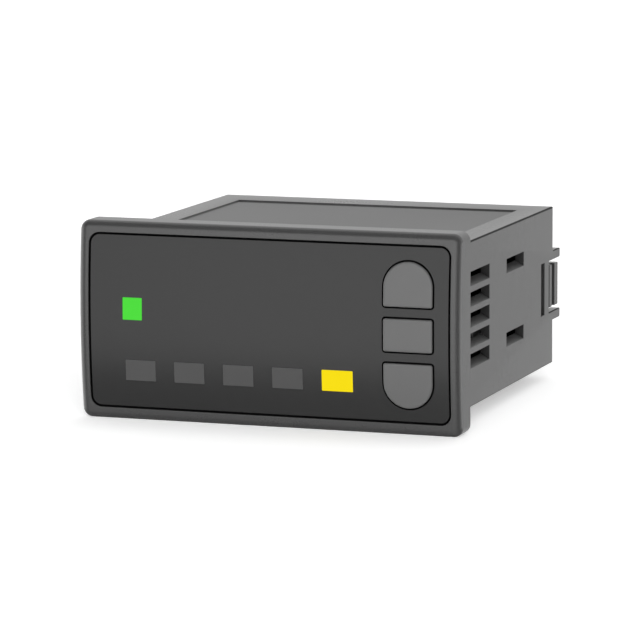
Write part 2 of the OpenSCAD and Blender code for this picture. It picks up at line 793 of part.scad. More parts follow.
// Latch tongue on the right edge of the rear cover: a hook in the case's slot and two grip ribs behind it.
module latch_tongue() {
    tip = case_len + tongue_out;
    grip_front = notch_front + notch_gap;
    front = latch_slot_front - hook_gap;
    hook_rear = latch_slot_rear - hook_gap;
    hook_flat = 0.8;
    hook_h = tongue_h - 1;
    translate([0, 0, latch_z]) {
        translate([cover_x - tongue_t, front, -tongue_h / 2]) cube([tongue_t, tip - front, tongue_h]);
        translate([cover_x - tongue_t / 2, grip_front, -tongue_h / 2])
            cube([case_x - groove_d - cover_x + tongue_t / 2, tip - grip_front, tongue_h]);
        for (y = [[grip_front, notch_front + grip_l], [tip - grip_l, tip]])
            translate([cover_x - tongue_t / 2, y[0], -tongue_h / 2])
                cube([case_x - cover_x + tongue_t / 2, y[1] - y[0], tongue_h]);
        translate([0, 0, -hook_h / 2]) linear_extrude(height = hook_h) polygon([
            [cover_x - tongue_t / 2, front + hook_gap],
            [cover_x, front + 2 * hook_gap],
            [bore_x + hook_reach, hook_rear - hook_flat],
            [bore_x + hook_reach, hook_rear],
            [cover_x - tongue_t / 2, hook_rear]
        ]);
    }
}

// Rear cover: a plate with an opening for each terminal block and a latch tongue at each side.
module rear_cover() color("#6e6e6e") {
    difference() {
        along_y(cover_front, case_len) square([2 * cover_x, 2 * cover_z], center = true);
        for (s = [-1, 1])
            along_y(cover_front - past, case_len + past) translate([0, s * terminal_z])
                square([terminal_w + 2 * cover_hole_gap, terminal_h + 2 * cover_hole_gap], center = true);
    }
    for (s = [0, 1]) mirror([s, 0, 0]) latch_tongue();
}

module main_board() color("#2f6b3c") translate([-main_x, main_front, main_bottom])
    cube([2 * main_x, main_rear - main_front, board_t]);

// Pin headers that join the main board to the board in front and the board behind.
module front_header() color("#1f1f1f") {
    translate([-header_w / 2, board_back, main_top])
        cube([header_w, main_front + header_hold - board_back, header_h]);
}

module rear_header() color("#1f1f1f") {
    translate([-header_w / 2, main_rear - header_hold, main_top]) cube([header_w, header_hold, header_h]);
}

// Transformer core with a window on each side of its middle leg.
module transformer_core() color("#8a8a8a") {
    translate([transformer_x, transformer_y, main_top + core_h / 2]) difference() {
        cube([core_w, core_d, core_h], center = true);
        for (s = [-1, 1])
            translate([s * (core_leg + core_window) / 2, 0, 0])
                cube([core_window, core_d + 2 * past, core_h - 2 * core_leg], center = true);
    }
}

// Winding round the middle leg, between the core's windows.
module transformer_winding() color("#a86432") {
    wrap = core_window - winding_gap;
    translate([transformer_x, transformer_y, main_top + core_leg + winding_gap])
        linear_extrude(height = core_h - 2 * core_leg - 2 * winding_gap) difference() {
            rounded_rectangle(core_leg + 2 * wrap, core_d + 2 * wrap, wrap / 2);
            square([core_leg + 2 * winding_gap, core_d + 2 * winding_gap], center = true);
        }
}

// A relay: a moulded box with rounded upright edges.
module relay(x) {
    edge_r = 0.8;
    translate([x, main_rear - header_hold - relay_space - relay_l / 2, main_top])
        linear_extrude(height = relay_h) rounded_rectangle(relay_w, relay_l, edge_r);
}

module relay_left() color("#27415f") relay(relay_right_x - relay_w - relay_space);
module relay_right() color("#27415f") relay(relay_right_x);

// An upright can with a rolled groove near its foot and a shallow rim on top.
module capacitor() color("#2c3e70") {
    groove_z = 2.5;
    groove_r = 0.6;
    rim_r = 0.7;
    translate([relay_right_x - relay_w / 2, main_front + capacitor_inset, main_top])
        rotate_extrude() difference() {
            union() {
                square([capacitor_r, capacitor_h - rim_r]);
                square([capacitor_r - rim_r, capacitor_h]);
                translate([capacitor_r - rim_r, capacitor_h - rim_r]) circle(r = rim_r);
            }
            translate([capacitor_r, groove_z]) circle(r = groove_r);
        }
}

module terminal_board() color("#2f6b3c") {
    edge_gap = 0.5;
    along_y(main_rear, terminal_board_back)
        square([2 * (bore_x - edge_gap), 2 * (bore_z - edge_gap)], center = true);
}

// Middle of terminal i in a row.
function terminal_x(i) = (i - (terminal_count - 1) / 2) * terminal_pitch;

// Terminal block: a base with a screw hole for each terminal, barriers between them and a wall along
// its inner side. Side is 1 for the upper block and -1 for the lower one.
module terminal_block(side) {
    wall = 1.2;
    hole_gap = 0.1;
    translate([0, 0, side * terminal_z]) difference() {
        union() {
            along_y(terminal_board_back, terminal_seat) square([terminal_w, terminal_h], center = true);
            along_y(terminal_seat - past, terminal_seat + barrier_out) {
                for (i = [0 : terminal_count])
                    translate([terminal_x(i - 0.5), 0]) square([barrier_t, terminal_h], center = true);
                translate([0, side * (wall - terminal_h) / 2]) square([terminal_w, wall], center = true);
            }
        }
        along_y(terminal_seat - screw_l - hole_gap, terminal_seat + past)
            for (i = [0 : terminal_count - 1]) translate([terminal_x(i), 0]) circle(r = screw_r + hole_gap);
    }
}

module terminal_block_upper() color("#2b2b2b") terminal_block(1);
module terminal_block_lower() color("#2b2b2b") terminal_block(-1);

// Square clamp plates under the screw heads.
module clamp_plates() color("#c8c8c0") {
    side_gap = 0.2;
    hole_gap = 0.1;
    plate_w = terminal_pitch - barrier_t - 2 * side_gap;
    for (side = [-1, 1])
        translate([0, 0, side * terminal_z]) along_y(terminal_seat, terminal_seat + clamp_t)
            for (i = [0 : terminal_count - 1]) translate([terminal_x(i), 0]) difference() {
                square(plate_w, center = true);
                circle(r = screw_r + hole_gap);
            }
}

// Terminal screws with a driver slot across each head.
module terminal_screws() color("#d0d0c8") {
    seat = terminal_seat + clamp_t;
    slot_w = 0.8;
    slot_d = 0.9;
    for (side = [-1, 1], i = [0 : terminal_count - 1])
        translate([terminal_x(i), 0, side * terminal_z]) difference() {
            union() {
                along_y(seat, seat + screw_head_h) circle(r = screw_head_r);
                along_y(terminal_seat - screw_l, seat) circle(r = screw_r);
            }
            along_y(seat + screw_head_h - slot_d, seat + screw_head_h + past)
                square([2 * screw_head_r + past, slot_w], center = true);
        }
}

front_bezel();
front_lens();
light_guide_green();
light_guide_1();
light_guide_2();
light_guide_3();
light_guide_4();
light_guide_yellow();
key_up();
key_set();
key_down();
plunger_up();
plunger_set();
plunger_down();
switch_up();
switch_set();
switch_down();
display_board();
digit_display();
indicator_leds();
controller_chip();
case();
rear_cover();
main_board();
front_header();
rear_header();
transformer_core();
transformer_winding();
relay_left();
relay_right();
capacitor();
terminal_board();
terminal_block_upper();
terminal_block_lower();
clamp_plates();
terminal_screws();
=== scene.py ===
# %% [markdown]
# # A panel temperature controller
#
# The object is an instrument for a panel cut-out: a crowned frame round a dark lens with three keys and six
# windows, a deep vented case, and screw terminals at the rear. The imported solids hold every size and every
# joint. This lesson dresses them. What the eye meets first gets finer surfaces, worked out from the same
# sizes, and every other solid gets eased edges or a finish of its own. Lengths are millimetres until they go
# to Blender, which takes metres.

# %% Load the frame
import json

import bmesh
import bpy
import numpy as np
from mathutils import Matrix, Vector
from mathutils.geometry import delaunay_2d_cdt


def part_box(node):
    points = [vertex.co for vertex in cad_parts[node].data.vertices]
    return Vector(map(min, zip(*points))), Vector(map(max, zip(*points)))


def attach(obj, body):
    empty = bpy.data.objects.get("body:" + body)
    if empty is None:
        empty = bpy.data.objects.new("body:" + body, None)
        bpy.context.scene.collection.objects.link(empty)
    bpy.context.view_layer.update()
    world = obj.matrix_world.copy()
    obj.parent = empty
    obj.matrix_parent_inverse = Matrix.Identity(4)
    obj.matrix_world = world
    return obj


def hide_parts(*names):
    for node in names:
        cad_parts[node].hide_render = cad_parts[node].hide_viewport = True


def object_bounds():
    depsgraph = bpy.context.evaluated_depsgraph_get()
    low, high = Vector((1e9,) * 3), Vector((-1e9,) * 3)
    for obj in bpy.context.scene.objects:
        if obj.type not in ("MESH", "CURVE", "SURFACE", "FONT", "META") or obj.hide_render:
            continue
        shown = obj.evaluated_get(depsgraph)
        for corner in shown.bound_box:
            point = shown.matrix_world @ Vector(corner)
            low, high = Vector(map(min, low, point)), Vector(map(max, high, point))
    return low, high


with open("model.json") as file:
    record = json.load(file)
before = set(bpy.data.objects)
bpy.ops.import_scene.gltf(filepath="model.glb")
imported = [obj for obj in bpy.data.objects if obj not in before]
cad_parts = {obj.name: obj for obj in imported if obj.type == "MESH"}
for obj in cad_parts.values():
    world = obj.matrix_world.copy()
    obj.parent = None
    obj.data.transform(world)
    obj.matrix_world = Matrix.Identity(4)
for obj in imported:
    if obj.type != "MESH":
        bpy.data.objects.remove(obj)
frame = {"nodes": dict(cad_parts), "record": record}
cad_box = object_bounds()

MM = 0.001
record = frame["record"]
slot_of = {part["node"]: part["material_slot"] for part in record["subparts"]}
body_of = {node: body for body, nodes in record["behaviour"]["bodies"].items() for node in nodes}

# %% [markdown]
# ## Shader maths as Python
#
# A finish is a sum of patterns, and a sum is easiest to read as an expression. Nodes could be placed one by
# one, with a name for each link. Instead one small class wraps a socket, so that a plus sign adds a Math
# node, and one method makes any other node from its type, its settings and its sockets.


# %% A socket that takes part in sums
class Socket:
    """One output socket. Python's operators on it add the Math nodes of the expression."""

    def __init__(self, tree, output):
        self.tree = tree
        self.output = output

    def node(self, kind, settings=None, sockets=None, output=0):
        """Adds a node: its type, its settings, then the values or links of its sockets."""
        new = self.tree.nodes.new(kind)
        for name, value in (settings or {}).items():
            setattr(new, name, value)
        for name, value in (sockets or {}).items():
            if isinstance(value, Socket):
                self.tree.links.new(value.output, new.inputs[name])
            else:
                new.inputs[name].default_value = value
        return Socket(self.tree, new.outputs[output])

    def math(self, operation, first, second=0.0):
        """One Math node on two values."""
        return self.node("ShaderNodeMath", {"operation": operation}, {0: first, 1: second})

    def __add__(self, other):
        return self.math("ADD", self, other)

    def __radd__(self, other):
        return self.math("ADD", other, self)

    def __sub__(self, other):
        return self.math("SUBTRACT", self, other)

    def __rsub__(self, other):
        return self.math("SUBTRACT", other, self)

    def __mul__(self, other):
        return self.math("MULTIPLY", self, other)

    def __rmul__(self, other):
        return self.math("MULTIPLY", other, self)

    def step(self, low, high):
        """Rises smoothly from 0 at low to 1 at high."""
        return self.node(
            "ShaderNodeMapRange",
            {"interpolation_type": "SMOOTHSTEP"},
            {"Value": self, "From Min": low, "From Max": high},
        )

    def part(self, axis):
        """One coordinate of a vector: 0, 1 or 2."""
        return self.node("ShaderNodeSeparateXYZ", None, {0: self}, axis)

    def noise(self, size, detail=2.0):
        """Cloudy pattern from 0 to 1 whose lumps are about size across, in this vector's units."""
        return self.node("ShaderNodeTexNoise", None, {"Vector": self, "Scale": 1 / size, "Detail": detail})

    def between(self, first, second):
        """Colour mixed from first, where this value is 0, to second, where it is 1."""
        first, second = (side if isinstance(side, Socket) else (*side, 1) for side in (first, second))
        return self.node("ShaderNodeMix", {"data_type": "RGBA"}, {0: self, 6: first, 7: second}, 2)


# %% [markdown]
# ## The crowned front
#
# The whole front is part of one cylinder whose axis runs along X, far behind the panel: frame, lens, windows
# and keys all follow it. So every outline is drawn flat in X and Z, and one function gives it its depth.

# %% Sizes of the front
FRAME_CROWN = 1.45  # rise of the middle of the front over its top and bottom
LENS_DROP = 0.25  # from the crown down to the lens's face
LENS_BACK = 2.25  # from the crown down to the lens's back
BOND = 0.1  # thickness of the glue behind the lens

frame_low, frame_high = (np.array(corner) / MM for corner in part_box("front_bezel"))
frame_half = frame_high[[0, 2]]
lens_half = np.array(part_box("front_lens")[1])[[0, 2]] / MM
front_y = frame_low[1]
crown_radius = (frame_half[1] ** 2 + FRAME_CROWN**2) / (2 * FRAME_CROWN)
crown_axis = front_y + crown_radius


def crowned(outline, sunk):
    """Flat points put on the crown: the depth is the axis less a chord, sunk below the skin."""
    x, z = outline[..., 0], outline[..., 1]
    return np.stack([x, crown_axis - np.sqrt((crown_radius - sunk) ** 2 - z**2), z], axis=-1)


def level(outline, depth):
    """Flat points put at one depth."""
    x, z = outline[..., 0], outline[..., 1]
    return np.stack([x, np.full_like(x, depth), z], axis=-1)


print("crown radius", round(crown_radius, 1), "mm, front at", round(front_y, 2), "mm")

# %% [markdown]
# ## Finishes
#
# Nearly everything here is moulded plastic. Its mould was spark-eroded, so the real surface has a fine grain,
# a gloss that comes and goes by a little, and a colour that isn't quite even. An image could hold all that,
# but patterns on Object coordinates need no unwrapping and have the same scale on every piece.

# %% Start a finish
finishes = {}


def start_finish(name, fixed):
    """A new material: returns its shader and the place on the piece in millimetres."""
    material = bpy.data.materials.new(name)
    material.use_nodes = True
    tree = material.node_tree
    shader = tree.nodes["Principled BSDF"]
    for socket, value in fixed.items():
        shader.inputs[socket].default_value = value
    place = Socket(tree, tree.nodes.new("ShaderNodeTexCoord").outputs["Object"])
    finishes[name] = material
    return shader, place.node("ShaderNodeVectorMath", {"operation": "SCALE"}, {0: place, "Scale": 1 / MM})


def feed(shader, sockets):
    """Links what changes over the surface to the shader."""
    for name, value in sockets.items():
        value.tree.links.new(value.output, shader.inputs[name])


def relief(height, depth):
    """Normals of a surface raised by height times depth, in millimetres."""
    return height.node("ShaderNodeBump", None, {"Height": height, "Distance": depth * MM, "Strength": 1.0})


def grey(value):
    """A colour without a hue."""
    return (value, value, value)


def tinted(colour, share):
    """A colour made darker or paler by a share."""
    return [share * value for value in colour]


# %% Moulded plastic
FRAME_GREY = grey(0.075)
FRAME_ROUGHNESS = 0.28
GLOSSY = 1.0
PLAIN = 0.5
COLOUR_DRIFT = 0.02
GLOSS_DRIFT = 0.04


def skin(place, colour, roughness, grain=0.12, depth=0.0012, cloud=25.0):
    """Sockets of a moulded surface: grain as a shallow bump, gloss that wanders with slow clouds, and colour
    within a few percent."""
    grains = place.noise(grain)
    clouds = place.noise(cloud)
    return {
        "Base Color": clouds.between(tinted(colour, 1 - COLOUR_DRIFT), tinted(colour, 1 + COLOUR_DRIFT)),
        "Roughness": roughness + GLOSS_DRIFT * (clouds - 0.5) + GLOSS_DRIFT * (grains - 0.5),
        "Normal": relief(grains, depth),
    }


def moulded(name, colour, roughness, specular=PLAIN, **pattern):
    """A plastic that has the same skin all over."""
    shader, place = start_finish(name, {"Specular IOR Level": specular})
    feed(shader, skin(place, colour, roughness, **pattern))


moulded("cover_plastic", FRAME_GREY, FRAME_ROUGHNESS, specular=GLOSSY)
moulded("black_plastic", grey(0.016), roughness=0.45)
moulded("terminal_plastic", grey(0.022), roughness=0.4)
moulded("relay_plastic", grey(0.03), roughness=0.3)
moulded("led_body", grey(0.74), roughness=0.3)
moulded("dark_window", grey(0.112), roughness=0.5, grain=0.5, depth=0.0005)
print("plain plastics:", sorted(finishes))

# %% [markdown]
# ## Painted shade in the gaps
#
# Round the lens and the keys runs a gap that no light comes out of: the walls in it get painted shade, a matt
# black, before the front is put together. A mask by depth below the crown finds these walls on each piece.

# %% Frame, keys and lens
KEY_GREY = grey(0.17)
KEY_ROUGHNESS = 0.36
LENS_GREY = grey(0.032)
LENS_ROUGHNESS = 0.15
# Painted shade: the matt black painted on the gap walls so that the gaps stay dark.
SHADE_BLACK = grey(0.002)
MATT = 0.9
SOFT = 0.05  # width of a mask's soft end
GAP_REACH = 0.55  # from the lens's outline to just past the gap's outer wall
FRAME_SHADE_DEPTHS = (0.2, 0.35)  # depths below the crown where the black starts and is full
KEY_SHADE_DEPTHS = (0.1, 0.2)
LENS_SHADE_DEPTHS = (0.33, 0.43)


def blend(mask, first, second):
    """One skin where the mask is 0 and another where it is 1, with the grain of the first."""
    return {
        "Base Color": mask.between(first["Base Color"], second["Base Color"]),
        "Roughness": first["Roughness"] * (1 - mask) + second["Roughness"] * mask,
        "Normal": first["Normal"],
    }


def below_skin(place, shallow, deep):
    """Rises from 0 to 1 between two depths below the crown: its radius less the way from its axis."""
    spoke = place.node(
        "ShaderNodeVectorMath",
        {"operation": "MULTIPLY_ADD"},
        {0: place, 1: (0, 1, 1), 2: (0, -crown_axis, 0)},
    )
    way = spoke.node("ShaderNodeVectorMath", {"operation": "LENGTH"}, {0: spoke}, "Value")
    return (crown_radius - way).step(shallow, deep)


def within(place, half):
    """1 inside a rectangle about the middle of the front, 0 outside it."""
    sizes = place.node("ShaderNodeVectorMath", {"operation": "ABSOLUTE"}, {0: place})
    across, up = sizes.part(0), sizes.part(2)
    return (1 - across.step(half[0], half[0] + SOFT)) * (1 - up.step(half[1], half[1] + SOFT))


# Painted shade: the gap walls of the frame, the keys and the lens are painted matt black.
shader, place = start_finish("bezel_plastic", {"Specular IOR Level": GLOSSY})
gap = within(place, lens_half + GAP_REACH) * below_skin(place, *FRAME_SHADE_DEPTHS)
feed(shader, blend(gap, skin(place, FRAME_GREY, FRAME_ROUGHNESS), skin(place, SHADE_BLACK, MATT)))

shader, place = start_finish("key_plastic", {"Specular IOR Level": GLOSSY})
gap = below_skin(place, *KEY_SHADE_DEPTHS)
feed(shader, blend(gap, skin(place, KEY_GREY, KEY_ROUGHNESS), skin(place, SHADE_BLACK, MATT)))

shader, place = start_finish("lens_plastic", {"Specular IOR Level": PLAIN})
gap = below_skin(place, *LENS_SHADE_DEPTHS)
glassy = skin(place, LENS_GREY, LENS_ROUGHNESS, grain=0.6, depth=0.0003, cloud=6.0)
feed(shader, blend(gap, glassy, skin(place, SHADE_BLACK, MATT)))
print("gap walls are black on frame, keys and lens")

# %% [markdown]
# ## The case's own finish
#
# The case is the frame's plastic. The shallow recess on its top is rougher and paler, ready for a label, and
# a thin dark line of painted shade runs along its right edges, its foot and the lugs' tops. Both could be
# materials of their own on some faces. Masks from the place on the case keep it one finish.

# %% Case plastic
CASE_LENGTH = 82.8
RECESS_DEPTH = 0.5
RECESS_HALF_WIDTH = 37.3
RECESS_X = 0.4
RECESS_MARGIN = 10.3
RECESS_LAYER = 0.3  # the mask reaches above and below the recess's floor by this
RECESS_PLAY = 0.1  # and past its walls by this
RECESS_GREY = grey(0.127)
RECESS_ROUGHNESS = 0.53
# The painted shade along the case's edges: its colour, and the widths of its lines at the top edge, the foot
# and the lugs.
EDGE_SHADE_GREY = grey(0.011)
TOP_LINE = 0.4
FOOT_LINE = 0.3
LUG_LINE = 0.28
LUG_NOTCH = 3.8
LUG_TOPS = {8.75: CASE_LENGTH, -6.7: CASE_LENGTH - LUG_NOTCH}  # a lug's top, and where its line starts
OUTSIDE = 1.0  # far enough to be past the case

case_high = np.array(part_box("case")[1]) / MM
case_half = case_high[[0, 2]]
shader, place = start_finish("case_plastic", {"Specular IOR Level": GLOSSY})
x, y, z = (place.part(axis) for axis in range(3))


def span(value, low, high):
    """1 between two values and 0 outside them, with soft ends inside."""
    return value.step(low, low + SOFT) * (1 - value.step(high - SOFT, high))


recess_floor = case_half[1] - RECESS_DEPTH
recess_half = RECESS_HALF_WIDTH + RECESS_PLAY
in_recess = (
    span(z, recess_floor - RECESS_LAYER, recess_floor + RECESS_LAYER)
    * span(x, RECESS_X - recess_half, RECESS_X + recess_half)
    * span(y, RECESS_MARGIN - RECESS_PLAY, CASE_LENGTH - RECESS_MARGIN + RECESS_PLAY)
)
side, top = case_half
# Painted shade: a dark matt line along the case's top right edge, its foot and under the lugs' tops.
edge_shade = span(x, side - TOP_LINE, side + OUTSIDE) * span(z, top - TOP_LINE, top + OUTSIDE)
foot = span(z, -top - OUTSIDE, FOOT_LINE - top)
edge_shade = edge_shade + span(x, side - FOOT_LINE, side + OUTSIDE) * foot
for lug_top, start in LUG_TOPS.items():
    lug = span(y, start, case_high[1] + OUTSIDE) * span(z, lug_top - LUG_LINE, lug_top + SOFT)
    edge_shade = edge_shade + lug * span(x, side - LUG_LINE, side + OUTSIDE)
plain = skin(place, FRAME_GREY, FRAME_ROUGHNESS)
label_place = blend(in_recess, plain, skin(place, RECESS_GREY, RECESS_ROUGHNESS))
feed(shader, blend(edge_shade, label_place, skin(place, EDGE_SHADE_GREY, MATT)))
print("recess floor at", round(recess_floor, 2), "mm")

# %% [markdown]
# ## Lit windows
#
# Two windows are lit from behind, so they glow, by a little more in some places than in others, as light from
# a guide does. The four dark ones are plain smoky plates.

# %% Lit windows
WINDOW_LIGHT = 0.92
WINDOW_GLOSS = 0.1
WINDOW_ROUGHNESS = 0.3
SPREAD = 2.5  # size of the paler places
UNLIT = 0.1  # share of its colour that the plastic has by itself


def lit_window(name, colour, pale):
    """Light from behind, slightly uneven, under a smooth face."""
    shader, place = start_finish(name, {
        "Emission Strength": WINDOW_LIGHT,
        "Specular IOR Level": WINDOW_GLOSS,
    })
    spread = place.noise(SPREAD)
    feed(shader, {
        "Emission Color": spread.between(colour, pale),
        "Base Color": spread.between(tinted(colour, UNLIT), tinted(pale, UNLIT)),
        "Roughness": WINDOW_ROUGHNESS + GLOSS_DRIFT * (spread - 0.5),
    })


lit_window("green_window", colour=(0.07, 0.715, 0.043), pale=(0.08, 0.75, 0.051))
lit_window("yellow_window", colour=(0.935, 0.73, 0.0015), pale=(0.963, 0.758, 0.0035))
print("finishes so far:", len(finishes))

# %% [markdown]
# ## Boards and metal inside
#
# The boards show a little through the vents, so they are green laminate with a lattice of paler tracks.
# Metal pieces are brushed: a noise squeezed along one axis gives fine lines in gloss and relief.

# %% Laminate
BOARD_GREEN = (0.006, 0.028, 0.012)
TRACK_GREEN = (0.012, 0.05, 0.022)
TRACK_SIZE = 1.6
TRACK_EDGE = (0.52, 0.54)  # where the noise turns from board to track
TRACK_HEIGHT = 0.03
WEAVE_SIZE = 0.3
WEAVE_HEIGHT = 0.1  # as a share of the tracks' height
WEAVE_GLOSS = 0.08
BOARD_ROUGHNESS = 0.34

shader, place = start_finish("board_laminate", {"Specular IOR Level": PLAIN})
tracks = place.noise(TRACK_SIZE, detail=0.0).step(*TRACK_EDGE)
weave = place.noise(WEAVE_SIZE)
feed(shader, {
    "Base Color": tracks.between(BOARD_GREEN, TRACK_GREEN),
    "Roughness": BOARD_ROUGHNESS + WEAVE_GLOSS * weave,
    "Normal": relief(tracks + WEAVE_HEIGHT * weave, TRACK_HEIGHT),
})
print("laminate tracks about", TRACK_SIZE, "mm apart")

# %% Metals
LINE_SIZE = 0.5
LINE_GLOSS = 0.16
LINE_DARK = 0.85
LINE_PALE = 1.1


def brushed(name, colour, shares, roughness, depth, metallic=1.0):
    """Metal with fine lines along the axis whose share is smallest: a noise on a place scaled by axis."""
    shader, place = start_finish(name, {"Metallic": metallic})
    drawn_out = place.node("ShaderNodeVectorMath", {"operation": "MULTIPLY"}, {0: place, 1: shares})
    lines = drawn_out.noise(LINE_SIZE)
    feed(shader, {
        "Base Color": lines.between(tinted(colour, LINE_DARK), tinted(colour, LINE_PALE)),
        "Roughness": roughness + LINE_GLOSS * (lines - 0.5),
        "Normal": relief(lines, depth),
    })


brushed("plated_steel", (0.62, 0.61, 0.57), shares=(1.0, 0.3, 1.0), roughness=0.3, depth=0.006)
brushed("core_steel", (0.36, 0.36, 0.36), shares=(0.05, 2.0, 0.05), roughness=0.42, depth=0.03)
brushed("copper_wire", (0.45, 0.17, 0.06), (0.05, 0.05, 1.6), roughness=0.32, depth=0.06, metallic=0.8)
brushed("capacitor_can", (0.035, 0.055, 0.19), (1.0, 1.0, 0.1), roughness=0.3, depth=0.004, metallic=0.0)
print("finishes in all:", sorted(finishes))

# %% [markdown]
# ## Outlines, lofts and pieces
#
# Every new surface is a row of rings, each with the same number of points. Such a loft could be drawn by hand
# with an edge loop for each ring. Here whole arrays of points are joined at once.


# %% Outlines and lofts
def outline(arcs, side):
    """A closed outline from arcs (x, z, radius, from, to, steps) and straight runs between them."""
    bends = []
    for arc_x, arc_z, radius, start, stop, steps in arcs:
        angle = np.radians(np.linspace(start, stop, steps + 1))
        bends.append(np.stack([arc_x + radius * np.cos(angle), arc_z + radius * np.sin(angle)], axis=1))
    share = np.arange(1, side)[:, None] / side
    runs = [a[-1] * (1 - share) + b[0] * share for a, b in zip(bends, bends[1:] + bends[:1])]
    return np.concatenate([stretch for pair in zip(bends, runs) for stretch in pair])


def rounded_rectangle(half_x, half_z, radius, corner=12, side=24):
    """Four quarter circles, anticlockwise from the lower right one."""
    x, z = half_x - radius, half_z - radius
    return outline([
        (x, -z, radius, -90, 0, corner),
        (x, z, radius, 0, 90, corner),
        (-x, z, radius, 90, 180, corner),
        (-x, -z, radius, 180, 270, corner),
    ], side)


def loft(rings, ends=None):
    """Quads between neighbouring rings. Two end points close the ends with fans, or else the last ring
    joins the first."""
    rings = np.stack(rings)
    count, around = rings.shape[:2]
    rows = np.arange(count * around).reshape(count, around)
    if ends is None:
        rows = np.vstack([rows, rows[:1]])
    ahead = np.roll(rows, -1, axis=1)
    faces = np.stack([rows[:-1], ahead[:-1], ahead[1:], rows[1:]], axis=2).reshape(-1, 4).tolist()
    points = rings.reshape(-1, 3)
    if ends is not None:
        first = np.full(around, len(points))
        faces += np.stack([ahead[0], rows[0], first], axis=1).tolist()
        faces += np.stack([rows[-1], ahead[-1], first + 1], axis=1).tolist()
        points = np.vstack([points, ends])
    return points, faces


def capped(ring_at, flat, steps):
    """Rings that shrink a flat outline evenly towards its middle, and the end point there."""
    middle = (flat.min(axis=0) + flat.max(axis=0)) / 2
    shares = np.arange(steps - 1, 0, -1) / steps
    return [ring_at(middle + share * (flat - middle)) for share in shares], ring_at(middle)


# %% Make a piece
SHARP = 32  # degrees between two faces from which their edge isn't smoothed
MERGE = 1e-4


def make_piece(node, points, faces):
    """A new mesh that stands for a solid, with its doubles merged and its faces turned outwards."""
    mesh = bpy.data.meshes.new(node + "_dressed")
    mesh.from_pydata((np.asarray(points) * MM).tolist(), [], faces)
    work = bmesh.new()
    work.from_mesh(mesh)
    bmesh.ops.remove_doubles(work, verts=work.verts, dist=MERGE * MM)
    bmesh.ops.recalc_face_normals(work, faces=work.faces)
    work.to_mesh(mesh)
    work.free()
    put(node, mesh)


def put(node, mesh):
    """Shows a mesh in place of a solid, smooth between its sharp edges, on the same body and with the same
    finish."""
    mesh.shade_smooth()
    mesh.set_sharp_from_angle(angle=np.radians(SHARP))
    mesh.materials.clear()
    mesh.materials.append(finishes[slot_of[node]])
    piece = bpy.data.objects.new(mesh.name, mesh)
    bpy.context.scene.collection.objects.link(piece)
    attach(piece, body_of[node])
    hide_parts(node)
    print(piece.name, len(mesh.vertices), "points")
    return piece


# %% [markdown]
# ## Front frame
#
# The frame is one moulding: flange, rounded front edge, rim, lens pocket, a ledge for the display board and a
# collar that plugs into the case. Its section is the same all round, so it is a profile carried along a
# rounded rectangle. The front edge is a quarter of an ellipse, wider across the rim than it is deep.

# %% Front frame
FRAME_R = 2.4
EDGE = np.array((1.85, 1.6))  # the edge's width at the sides, and at the top and bottom
EDGE_DEPTH = 1.3
LENS_GAP = 0.5
OPENING_R = 2.7
INNER_EDGE = 0.15
LENS_LEDGE = 1.2
FLANGE = 1.6
BOARD_SEAT = 2.4
BOARD_LEDGE = 0.9
COLLAR = 1.5
CASE_WALL = 2.2
SEAT_DEPTH = 0.6
PLUG_GAP = 0.15
CASE_EDGE = 0.4
INNER_R = 1.0
REAR_EASE = 0.12
EDGE_STEPS = 14
INNER_EDGE_STEPS = 7
SUPPORT = 0.12  # from an edge to the ring that keeps the flat beside it flat
NEAR_FOOT = 0.02  # the same on the side, as shares of its depth
NEAR_EDGE = 0.94

opening_half = lens_half + LENS_GAP
collar_end = frame_high[1]
collar_half = case_half - CASE_WALL - PLUG_GAP
collar_in_half = collar_half - COLLAR


def frame_outline(inset):
    """The frame's outer outline, moved inwards, by more at the sides than at the top and bottom."""
    return rounded_rectangle(*(frame_half - inset), FRAME_R - np.max(inset))


def opening_outline(out):
    """The lens opening's outline, moved outwards."""
    return rounded_rectangle(*(opening_half + out), OPENING_R + out)


turn = np.radians(np.linspace(0, 90, EDGE_STEPS + 1))
outer_edge = [
    crowned(frame_outline(EDGE * (1 - np.cos(a))), EDGE_DEPTH * (1 - np.sin(a))) for a in turn
]
inner_edge = [
    crowned(opening_outline(INNER_EDGE * (1 - np.sin(a))), INNER_EDGE * (1 - np.cos(a)))
    for a in turn[:: EDGE_STEPS // INNER_EDGE_STEPS]
]
space = rounded_rectangle(*(opening_half - LENS_LEDGE), OPENING_R - LENS_LEDGE)
ledge = rounded_rectangle(*(collar_in_half - BOARD_LEDGE), INNER_R)
collar_in = rounded_rectangle(*collar_in_half, INNER_R)
collar = rounded_rectangle(*collar_half, INNER_R)
groove = rounded_rectangle(*(case_half + PLUG_GAP), CASE_EDGE + PLUG_GAP)
side_foot = level(frame_outline(0), -REAR_EASE)
rings = [
    level(frame_outline(REAR_EASE), 0),
    side_foot,
    (1 - NEAR_FOOT) * side_foot + NEAR_FOOT * outer_edge[0],
    (1 - NEAR_EDGE) * side_foot + NEAR_EDGE * outer_edge[0],
    *outer_edge,
    crowned(frame_outline(EDGE + SUPPORT), 0),
    crowned(opening_outline(INNER_EDGE + SUPPORT), 0),
    *inner_edge,
    crowned(opening_outline(0), LENS_BACK + BOND),
    crowned(space, LENS_BACK + BOND),
    level(space, -FLANGE),
    level(ledge, -FLANGE),
    level(ledge, BOARD_SEAT),
    level(collar_in, BOARD_SEAT),
    level(collar_in, collar_end),
    level(collar, collar_end),
    level(collar, -SEAT_DEPTH),
    level(groove, -SEAT_DEPTH),
    level(groove, 0),
]
frame_points, frame_faces = loft(rings)
print("frame section:", len(rings), "rings of", len(side_foot), "points")

# %% [markdown]
# Four snaps on the collar hold the frame in the case, and four more inside it hold the display board. Each is
# a wedge: a triangle carried along X.

# %% Snaps
SNAP_X = 22.0
SNAP_LENGTH = 12.0
SNAP_START = 3.0
SNAP_RUN = 2.5
SNAP_RISE = 0.6
BOARD = 1.6
NUB_GAP = 0.1
BOTH = np.array([-1, 1])


